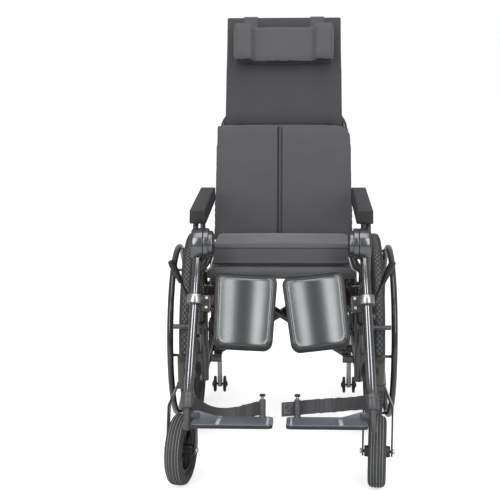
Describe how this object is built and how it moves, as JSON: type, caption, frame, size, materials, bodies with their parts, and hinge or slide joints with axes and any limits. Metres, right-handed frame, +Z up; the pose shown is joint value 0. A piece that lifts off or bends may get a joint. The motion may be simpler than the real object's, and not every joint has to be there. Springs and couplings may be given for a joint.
{
  "type": "reclining wheelchair",
  "caption": "Folding wheelchair with a reclining padded back, headrest pillow, raising legrests with calf pads, flip-up footplates, brakes and anti-tip wheels.",
  "frame": {"origin": "on the floor, under the middle of the chair's box", "axes": "+Z up, -Y the way the sitter faces, +X to the sitter's left"},
  "size_m": [0.6704, 1.0183, 1.2605],
  "materials": {
    "frame_paint": "gloss black",
    "satin_steel": "satin",
    "grey_casting": "satin grey",
    "black_plastic": "satin",
    "pad_vinyl": "smooth vinyl",
    "tyre_rubber": "matte",
    "charcoal_cloth": "woven",
    "webbing": "woven webbing"
  },
  "bodies": {
    "left_side": {"side_frame_left": "frame_paint", "recline_cylinder_left": "frame_paint", "anti_tip_post_left": "grey_casting"},
    "right_side": {"side_frame_right": "frame_paint", "recline_cylinder_right": "frame_paint", "anti_tip_post_right": "grey_casting"},
    "brace_front": {"cross_brace_front": "frame_paint"},
    "brace_rear": {"cross_brace_rear": "frame_paint"},
    "seat": {"seat_sling": "charcoal_cloth"},
    "cushion": {"seat_cushion": "charcoal_cloth"},
    "back_left": {"back_post_left": "frame_paint", "head_post_left": "frame_paint", "push_grip_left": "black_plastic", "back_pad": "charcoal_cloth", "head_panel": "charcoal_cloth"},
    "back_right": {"back_post_right": "frame_paint", "head_post_right": "frame_paint", "push_grip_right": "black_plastic"},
    "pillow": {"headrest_pillow": "charcoal_cloth"},
    "release_lever_left": {"recline_lever_left": "black_plastic"},
    "rod_left": {"recline_rod_left": "satin_steel"},
    "arm_left": {"armrest_frame_left": "frame_paint", "armrest_pad_left": "pad_vinyl"},
    "wheel_left": {"rear_tyre_left": "tyre_rubber", "rear_wheel_left": "black_plastic", "handrim_left": "frame_paint"},
    "fork_left": {"caster_fork_left": "frame_paint"},
    "caster_left": {"caster_tyre_left": "tyre_rubber", "caster_hub_left": "black_plastic"},
    "hanger_left": {"legrest_hanger_left": "frame_paint"},
    "leg_left": {"leg_tube_left": "frame_paint", "calf_bracket_left": "satin_steel"},
    "calf_left": {"calf_pad_left": "pad_vinyl"},
    "foot_left": {"foot_tube_left": "grey_casting"},
    "plate_left": {"footplate_left": "grey_casting", "heel_strap_left": "webbing"},
    "brake_left": {"brake_lever_left": "black_plastic"},
    "shoe_left": {"brake_shoe_left": "satin_steel"},
    "tip_wheels_left": {"anti_tip_wheels_left": "black_plastic"},
    "release_lever_right": {"recline_lever_right": "black_plastic"},
    "rod_right": {"recline_rod_right": "satin_steel"},
    "arm_right": {"armrest_frame_right": "frame_paint", "armrest_pad_right": "pad_vinyl"},
    "wheel_right": {"rear_tyre_right": "tyre_rubber", "rear_wheel_right": "black_plastic", "handrim_right": "frame_paint"},
    "fork_right": {"caster_fork_right": "frame_paint"},
    "caster_right": {"caster_tyre_right": "tyre_rubber", "caster_hub_right": "black_plastic"},
    "hanger_right": {"legrest_hanger_right": "frame_paint"},
    "leg_right": {"leg_tube_right": "frame_paint", "calf_bracket_right": "satin_steel"},
    "calf_right": {"calf_pad_right": "pad_vinyl"},
    "foot_right": {"foot_tube_right": "grey_casting"},
    "plate_right": {"footplate_right": "grey_casting", "heel_strap_right": "webbing"},
    "brake_right": {"brake_lever_right": "black_plastic"},
    "shoe_right": {"brake_shoe_right": "satin_steel"},
    "tip_wheels_right": {"anti_tip_wheels_right": "black_plastic"}
  },
  "joints": [
    {"name": "fold", "type": "hinge", "parent": "left_side", "child": "brace_front", "pos_m": [0.19, -0.01148, 0.295], "axis": [0, 1, 0], "range_deg": [0, 37.7], "deforming": ["seat_sling", "seat_cushion", "back_pad", "head_panel", "headrest_pillow"]},
    {"name": "brace_cross", "type": "hinge", "parent": "brace_front", "child": "brace_rear", "pos_m": [0, 0.01652, 0.41503], "axis": [0, 1, 0], "range_deg": [-75.4, 0]},
    {"name": "right_side_level", "type": "hinge", "parent": "brace_rear", "child": "right_side", "pos_m": [-0.19, 0.01652, 0.295], "axis": [0, 1, 0], "range_deg": [0, 37.7]},
    {"name": "seat_rise", "type": "slide", "parent": "left_side", "child": "seat", "axis": [0, 0, 1], "range_m": [0, 0.1794]},
    {"name": "legrest_swing_left", "type": "hinge", "parent": "left_side", "child": "hanger_left", "pos_m": [0.225, -0.20248, 0.528], "axis": [0, 0, 1], "range_deg": [0, 72]},
    {"name": "legrest_swing_right", "type": "hinge", "parent": "right_side", "child": "hanger_right", "pos_m": [-0.225, -0.20248, 0.528], "axis": [0, 0, 1], "range_deg": [-72, 0]},
    {"name": "cushion_lift", "type": "hinge", "parent": "seat", "child": "cushion", "pos_m": [0, 0.17652, 0.61272], "axis": [1, 0, 0], "range_deg": [-26, 0]},
    {"name": "recline", "type": "hinge", "parent": "left_side", "child": "back_left", "pos_m": [0.19, 0.22252, 0.535], "axis": [1, 0, 0], "range_deg": [-60, 10]},
    {"name": "recline_right", "type": "hinge", "parent": "right_side", "child": "back_right", "pos_m": [-0.19, 0.22252, 0.535], "axis": [1, 0, 0], "range_deg": [-60, 10]},
    {"name": "recline_rod_left", "type": "slide", "parent": "left_side", "child": "rod_left", "axis": [0, 0, 1], "range_m": [-0.064, 0.012]},
    {"name": "recline_rod_right", "type": "slide", "parent": "right_side", "child": "rod_right", "axis": [0, 0, 1], "range_m": [-0.064, 0.012]},
    {"name": "pillow_height", "type": "slide", "parent": "back_left", "child": "pillow", "axis": [0, 0.2588, 0.9659], "range_m": [-0.06, 0.02]},
    {"name": "release_left", "type": "hinge", "parent": "back_left", "child": "release_lever_left", "pos_m": [0.1975, 0.33061, 0.86114], "axis": [1, 0, 0], "range_deg": [0, 8], "stiffness_Nm_per_rad": 0.2, "springref_deg": -17.19},
    {"name": "arm_lift_left", "type": "slide", "parent": "left_side", "child": "arm_left", "axis": [0, 0, 1], "range_m": [0, 0.1]},
    {"name": "release_right", "type": "hinge", "parent": "back_right", "child": "release_lever_right", "pos_m": [-0.1975, 0.33061, 0.86114], "axis": [1, 0, 0], "range_deg": [0, 8], "stiffness_Nm_per_rad": 0.2, "springref_deg": -17.19},
    {"name": "arm_lift_right", "type": "slide", "parent": "right_side", "child": "arm_right", "axis": [0, 0, 1], "range_m": [0, 0.1]},
    {"name": "wheel_spin_left", "type": "hinge", "parent": "left_side", "child": "wheel_left", "pos_m": [0.28, 0.20252, 0.30384], "axis": [1, 0, 0], "continuous": true},
    {"name": "caster_swivel_left", "type": "hinge", "parent": "left_side", "child": "fork_left", "pos_m": [0.27, -0.22948, 0.283], "axis": [0, 0, 1], "continuous": true},
    {"name": "caster_spin_left", "type": "hinge", "parent": "fork_left", "child": "caster_left", "pos_m": [0.26686, -0.26936, 0.09914], "axis": [0.9969, -0.0785, 0], "continuous": true},
    {"name": "tip_wheel_spin_left", "type": "hinge", "parent": "left_side", "child": "tip_wheels_left", "pos_m": [0.217, 0.41452, 0.047], "axis": [1, 0, 0], "continuous": true},
    {"name": "wheel_spin_right", "type": "hinge", "parent": "right_side", "child": "wheel_right", "pos_m": [-0.28, 0.20252, 0.30384], "axis": [1, 0, 0], "continuous": true},
    {"name": "caster_swivel_right", "type": "hinge", "parent": "right_side", "child": "fork_right", "pos_m": [-0.27, -0.22948, 0.283], "axis": [0, 0, 1], "continuous": true},
    {"name": "caster_spin_right", "type": "hinge", "parent": "fork_right", "child": "caster_right", "pos_m": [-0.27695, -0.26887, 0.09914], "axis": [0.9848, -0.1736, 0], "continuous": true},
    {"name": "tip_wheel_spin_right", "type": "hinge", "parent": "right_side", "child": "tip_wheels_right", "pos_m": [-0.217, 0.41452, 0.047], "axis": [1, 0, 0], "continuous": true},
    {"name": "leg_raise_left", "type": "hinge", "parent": "hanger_left", "child": "leg_left", "pos_m": [0.224, -0.21448, 0.6745], "axis": [1, 0, 0], "range_deg": [-60, 0]},
    {"name": "foot_length_left", "type": "slide", "parent": "leg_left", "child": "foot_left", "axis": [0.0385, -0.4695, -0.8821], "range_m": [0, 0.06]},
    {"name": "footplate_flip_left", "type": "hinge", "parent": "foot_left", "child": "plate_left", "pos_m": [0.21901, -0.4235, 0.26202], "axis": [0, 0.9781, -0.2079], "range_deg": [0, 72], "deforming": ["heel_strap_left"]},
    {"name": "calf_tilt_left", "type": "hinge", "parent": "leg_left", "child": "calf_left", "pos_m": [0.10283, -0.2353, 0.48077], "axis": [0.999, 0, 0.0436], "range_deg": [-6, 10]},
    {"name": "leg_raise_right", "type": "hinge", "parent": "hanger_right", "child": "leg_right", "pos_m": [-0.224, -0.21448, 0.6745], "axis": [1, 0, 0], "range_deg": [-60, 0]},
    {"name": "foot_length_right", "type": "slide", "parent": "leg_right", "child": "foot_right", "axis": [-0.0385, -0.4695, -0.8821], "range_m": [0, 0.06]},
    {"name": "footplate_flip_right", "type": "hinge", "parent": "foot_right", "child": "plate_right", "pos_m": [-0.21901, -0.4235, 0.26202], "axis": [0, -0.9781, 0.2079], "range_deg": [0, 72], "deforming": ["heel_strap_right"]},
    {"name": "calf_tilt_right", "type": "hinge", "parent": "leg_right", "child": "calf_right", "pos_m": [-0.10283, -0.2353, 0.48077], "axis": [0.999, 0, -0.0436], "range_deg": [-6, 10]},
    {"name": "brake_left", "type": "hinge", "parent": "left_side", "child": "brake_left", "pos_m": [0.264, -0.13248, 0.478], "axis": [-1, 0, 0], "range_deg": [-35, 0]},
    {"name": "brake_shoe_left", "type": "hinge", "parent": "left_side", "child": "shoe_left", "pos_m": [0.264, -0.13248, 0.446], "axis": [-1, 0, 0], "range_deg": [-14, 0]},
    {"name": "brake_right", "type": "hinge", "parent": "right_side", "child": "brake_right", "pos_m": [-0.264, -0.13248, 0.478], "axis": [-1, 0, 0], "range_deg": [-35, 0]},
    {"name": "brake_shoe_right", "type": "hinge", "parent": "right_side", "child": "shoe_right", "pos_m": [-0.264, -0.13248, 0.446], "axis": [-1, 0, 0], "range_deg": [-14, 0]}
  ],
  "couplings": [
    {"joint": "brace_cross", "follows": "fold", "ratio": -2},
    {"joint": "right_side_level", "follows": "fold", "ratio": 1},
    {"joint": "seat_rise", "follows": "fold", "m_per_rad": 0.271},
    {"joint": "legrest_swing_left", "follows": "fold", "ratio": 1.85},
    {"joint": "legrest_swing_right", "follows": "fold", "ratio": -1.85},
    {"joint": "recline_right", "follows": "recline", "ratio": 1},
    {"joint": "recline_rod_left", "follows": "recline", "m_per_rad": 0.05708},
    {"joint": "recline_rod_right", "follows": "recline", "m_per_rad": 0.05708},
    {"joint": "brake_shoe_left", "follows": "brake_left", "ratio": 0.387},
    {"joint": "brake_shoe_right", "follows": "brake_right", "ratio": 0.387}
  ]
}
